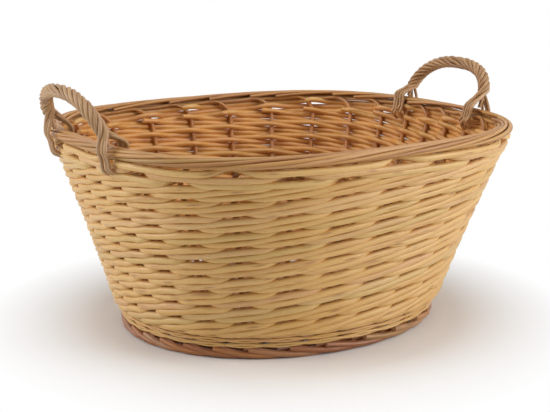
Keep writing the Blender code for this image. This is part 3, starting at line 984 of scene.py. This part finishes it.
# %% [markdown]
# ## Base sticks
# Seven cross sticks are slit in the middle and three long sticks pass through the slits.
# Both fan out to the foot.

# %% Base sticks
LONG_STICKS = 3
CROSS_STICKS = 7
STICK_RADIUS = 0.0030
CROSS_STICK_BULGE = 0.0058
CROSS_STICK_SPACING = 0.052 * FOOT_LENGTH
CROSS_STICK_SPREAD = 0.10 * FOOT_LENGTH
LONG_STICK_SPREAD = 0.20 * FOOT_WIDTH
LONG_STICK_FAN = 0.024
LONG_STICK_FAN_LENGTH = 0.016
FOOT_BORDER_GROOVE = 0.20

# The sticks' ends lie on the shoulder of the foot border, inside the stakes
foot_border_middle = FOOT_BORDER_DEPTH / 2 - FOOT_TRIM
stick_inset = STAKE_RADIUS + STICK_RADIUS + TOUCH
fullness = 1 - FOOT_BORDER_GROOVE / 2
inwards = stick_inset / (fullness * FOOT_BORDER_WIDTH / 2)
shoulder = fullness * FOOT_BORDER_DEPTH / 2 * sqrt(1 - inwards ** 2)
base_middle = foot_border_middle + shoulder + TOUCH + STICK_RADIUS
half_length = stake_line(0.0, foot_border_middle).x - stick_inset
half_width = stake_line(pi / 2, foot_border_middle).y - stick_inset
# The slath is the middle of the base, where the sticks cross
slath = LONG_STICKS * (STICK_RADIUS + TOUCH)
slath_end = (CROSS_STICKS // 2 + 0.5) * CROSS_STICK_SPACING


def base_point(x, y):
    """A point in the middle of the base's thickness."""
    return Vector((x, y, base_middle))


def cross_spoke(number, end):
    """Start and end of one arm of a cross stick."""
    end_x = number * CROSS_STICK_SPREAD
    edge = half_width * sqrt(1 - (end_x / half_length) ** 2)
    return base_point(number * CROSS_STICK_SPACING, end * 2 * slath), base_point(end_x, end * edge)


def long_spoke(number, end):
    """Start and end of one fanned arm of a long stick."""
    end_y = number * LONG_STICK_SPREAD
    edge = half_length * sqrt(1 - (end_y / half_width) ** 2)
    start = base_point(end * (slath_end + LONG_STICK_FAN_LENGTH), number * LONG_STICK_FAN)
    return start, base_point(end * edge, end_y)


def stick(name, bends, radii, steps):
    """One base stick through some bends, with a radius at each."""
    path = []
    for i in range(len(bends) - 1):
        for step in range(steps):
            t = step / steps
            path.append((*bends[i].lerp(bends[i + 1], t), radii[i] + (radii[i + 1] - radii[i]) * t))
    path.append((*bends[-1], radii[-1]))
    rods(f"{name}_willow", [smooth(path, steps=2)], base_willow, [name])


for number in range(-1, 2):
    near, far = long_spoke(number, -1), long_spoke(number, 1)
    beside = number * 2 * (STICK_RADIUS + TOUCH)
    straight = [base_point(-slath_end, beside), base_point(slath_end, beside)]
    bends = [near[1], near[0], *straight, far[0], far[1]]
    stick(f"base_long_stick_{number + 2}", bends, [STICK_RADIUS] * len(bends), steps=3)
for number in range(-3, 4):
    near, far = cross_spoke(number, -1), cross_spoke(number, 1)
    reach = slath + STICK_RADIUS / 2
    slit = [base_point(near[0].x, -reach), base_point(far[0].x, reach)]
    bends = [near[1], near[0], *slit, far[0], far[1]]
    radii = [STICK_RADIUS] * 2 + [CROSS_STICK_BULGE] * 2 + [STICK_RADIUS] * 2
    stick(f"base_cross_stick_{number + 4}", bends, radii, steps=2)
print("base middle at", round(base_middle * MILLIMETRES, 2), "mm")

# %% [markdown]
# ## Base weave
# Two long rods are woven over and under the sticks' arms in a spiral, out to the wall. The
# visual rods are thinner than the CAD ones and go round more often, so they close the base.

# %% Base weavers
BASE_WEAVERS = 2
BASE_WEAVER_RADIUS = 0.0034
BASE_WEAVE_CLEARANCE = 0.0013
VISUAL_ROUNDS = 28
VISUAL_START = -0.05
VISUAL_WEAVER_RADIUS = 0.0027
VISUAL_REACH = 4 * WEAVE_CLEARANCE

spokes = [long_spoke(n, 1) for n in (0, 1)]
spokes += [cross_spoke(n, 1) for n in range(3, -4, -1)]
spokes += [long_spoke(n, -1) for n in (1, 0, -1)]
spokes += [cross_spoke(n, -1) for n in range(-3, 4)]
spokes += [long_spoke(-1, 1)]
count = len(spokes)
inset = weave_offset(UPSETT_ROD_RADIUS) + UPSETT_ROD_RADIUS + TOUCH + BASE_WEAVER_RADIUS
margin = inset - stick_inset - VISUAL_REACH
weave_rise = STICK_RADIUS + BASE_WEAVER_RADIUS + BASE_WEAVE_CLEARANCE
for number in range(BASE_WEAVERS):
    points = []
    for i in range(VISUAL_ROUNDS // BASE_WEAVERS * count):
        start, end = spokes[(i + number * count // BASE_WEAVERS) % count]
        share = VISUAL_START + (1 - VISUAL_START) * BASE_WEAVERS * i / count / VISUAL_ROUNDS
        side = 1 if (i + number) % 2 == 0 else -1
        point = start.lerp(end, share * (1 - margin / (end - start).length))
        point.z += side * weave_rise
        points.append((*point, VISUAL_WEAVER_RADIUS))
    name = f"base_weaver_{number + 1}"
    rods(f"{name}_willow", [smooth(points, steps=5)], base_willow, [name], sides=BASE_ROD_SIDES)
print("base woven over", count, "arms of the sticks")

# %% [markdown]
# ## The line of a handle
# A bow rod stands in the wall at each end of the basket and leans outwards. One side of it is
# steep and the other slopes, as in the photo.

# %% Handle line
HANDLE_RISE = 0.0575
HANDLE_LEAN = 0.0215
HANDLE_SQUARENESS = 2.9
HANDLE_SLOPING_SQUARENESS = 2.1
HANDLE_FOOT_SHIFT = 0.005
HANDLE_STAKE = 1.2


def handle_arch(share):
    """The middle line of the right bow, from the -Y foot (share 0) to the +Y foot (share 1)."""
    foot = stake_line(stake_angle(HANDLE_STAKE), RIM_HEIGHT)
    turn = pi * share
    squareness = HANDLE_SQUARENESS if share < 0.5 else HANDLE_SLOPING_SQUARENESS
    across = abs(cos(turn)) ** (2 / squareness)
    rise = sin(turn) ** (2 / squareness)
    side = -1 if share < 0.5 else 1
    x = foot.x + HANDLE_FOOT_SHIFT + HANDLE_LEAN * rise
    return Vector((x, side * foot.y * across, RIM_HEIGHT + TOUCH + HANDLE_RISE * rise))


def arch_frame(share):
    """Two directions square to the bow and to each other."""
    low, high = max(share - SMALL_STEP, 0.0), min(share + SMALL_STEP, 1.0)
    forward = (handle_arch(high) - handle_arch(low)).normalized()
    plane = Vector((HANDLE_RISE, 0.0, -HANDLE_LEAN)).normalized()
    return plane, forward.cross(plane)


print("top of the bow", handle_arch(0.5))

# %% [markdown]
# ## Roping
# Thin rods are wound round the bow side by side, nearly three turns from foot to foot. At
# each foot they part in two bunches, which straddle the rim and are threaded into the wall
# outside and inside.

# %% Roping rods
BOW_RADIUS = 0.0028
ROPING_STRANDS = 3
ROPING_TURNS = 2.7
ROPING_PARTS_AT = 0.05
ROPING_LAY = 3 * TOUCH
ROPING_LAY_WANDER = 0.0003
ROPING_TURN_WANDER = 0.10
ROPING_THICK_WANDER = 0.08
ROPING_POINTS = 72
ROPING_SEED = 800
STRAND_RODS = (3, 2, 2)
STRAND_ROD_RADIUS = 0.0026
TAIL_DROP = 0.045
TAIL_SHORTER = (0.006, 0.018)
TAIL_THINNING = 0.85
TAIL_CLEARANCE = 0.003
TAIL_BULGE = 0.005
TAIL_TIP = 0.006
TAIL_TIP_LIFT = 0.002
TAIL_BELOW_RIM_TOP = 0.010
TAIL_ABOVE_RIM_TOP = 0.002
# The points at each end of the winding that the tails take the place of
TAIL_JOIN = 3
# In radii of a rod: the spacing of a strand's tails, and how far they move off the middle
OUTER_TAIL_SPACING = 2.1
OUTER_TAIL_START = 0.9
INNER_TAIL_SPACING = 1.9
INNER_TAIL_START = 2.1


def tail(foot, outward, beside, drop):
    """The end of a roping rod at one foot (-1 or 1), from the wall up to the rim."""
    angle = foot * stake_angle(HANDLE_STAKE)
    tip = weaver_radius(WEAVER_STROKES - 1)
    on_siding = weave_offset(tip) + tip + STRAND_ROD_RADIUS
    bulge = TAIL_BULGE if outward > 0 else 0.0
    clearance = TAIL_CLEARANCE if outward > 0 else TOUCH
    past_rim = BORDER_WIDTH / 2 + clearance + STRAND_ROD_RADIUS
    low = RIM_HEIGHT - drop
    spots = (
        (low, on_siding - TAIL_TIP),
        (low + TAIL_TIP, on_siding + TAIL_TIP_LIFT),
        (low + 2 * TAIL_TIP, on_siding + bulge),
        (RIM_HEIGHT - TAIL_BELOW_RIM_TOP, past_rim),
        (RIM_HEIGHT + TAIL_ABOVE_RIM_TOP, past_rim),
    )
    points = []
    for height, offset in spots:
        along = Vector((0, 0, 1)).cross(wall_normal(angle, height)).normalized()
        place = wall_point(angle, height, outward * offset) + along * beside
        points.append((*place, STRAND_ROD_RADIUS * TAIL_THINNING))
    return points


def winding(wander, phase):
    """The part of a roping rod that is wound round the bow, as points with radii."""
    lay = BOW_RADIUS + STRAND_ROD_RADIUS + ROPING_LAY
    # The same waves, read at other places, also change the rod's thickness and its lay
    points = []
    for i in range(ROPING_POINTS + 1):
        share = ROPING_PARTS_AT + (1 - 2 * ROPING_PARTS_AT) * i / ROPING_POINTS
        plane, square = arch_frame(share)
        turn = 2 * pi * ROPING_TURNS * i / ROPING_POINTS + phase + ROPING_TURN_WANDER * wander(share)
        out = cos(turn) * plane + sin(turn) * square
        radius = STRAND_ROD_RADIUS * (1 + ROPING_THICK_WANDER * wander(share + 0.5))
        place = handle_arch(share) + (lay + ROPING_LAY_WANDER * wander(share + 0.2)) * out
        points.append((*place, radius))
    return points


def roping_rod(strand, member, end):
    """One thin rod of a strand: its tail, its turns round the bow and its other tail."""
    phase = 2 * pi * (sum(STRAND_RODS[:strand]) + member) / sum(STRAND_RODS)
    strand_phase = 2 * pi * strand / ROPING_STRANDS
    chance = random.Random(ROPING_SEED + 100 * end + 10 * strand + member)
    wander = waves(chance.random(), count=3, shortest=0.15, longest=0.5)
    middle = winding(wander, phase)
    outward = 1 if cos(strand_phase) > 0 else -1
    place_in_strand = member - (STRAND_RODS[strand] - 1) / 2
    if outward > 0:
        start = OUTER_TAIL_START if place_in_strand > 0 else -OUTER_TAIL_START
        spacing = OUTER_TAIL_SPACING * place_in_strand + start
    else:
        start = INNER_TAIL_START if sin(strand_phase) > 0 else -INNER_TAIL_START
        spacing = INNER_TAIL_SPACING * place_in_strand + start
    beside = spacing * STRAND_ROD_RADIUS
    tails = []
    for foot, join in ((-1, TAIL_JOIN), (1, -TAIL_JOIN - 1)):
        drop = TAIL_DROP - chance.uniform(*TAIL_SHORTER)
        points = tail(foot, outward, -foot * beside, drop) + [middle[join]]
        tails.append(smooth(points, steps=4)[:-1])
    return tails[0] + middle[TAIL_JOIN:-TAIL_JOIN] + tails[1][::-1]


print("a bow is wound with", sum(STRAND_RODS), "rods")

# %% [markdown]
# ## Both handles
# The left handle is made like the right one and turned half round to the other end.

# %% Handles
BOW_STEPS = 32


def at_end(side, path):
    """A rod of the right handle as it is, or turned half round to the left end."""
    if side == "right":
        return path
    return [(-x, -y, z, radius) for x, y, z, radius in path]


for end, side in enumerate(("right", "left")):
    bow = [(*handle_arch(i / BOW_STEPS), BOW_RADIUS) for i in range(BOW_STEPS + 1)]
    name = f"handle_{side}_bow"
    rods(f"{name}_willow", [at_end(side, bow)], handle_willow, [name])
    for strand in range(ROPING_STRANDS):
        bunch = []
        for member in range(STRAND_RODS[strand]):
            bunch.append(at_end(side, roping_rod(strand, member, end)))
        name = f"handle_{side}_roping_{strand + 1}"
        rods(f"{name}_willow", bunch, handle_willow, [name], sides=THIN_ROD_SIDES)
print("both handles have", ROPING_STRANDS, "strands of roping")
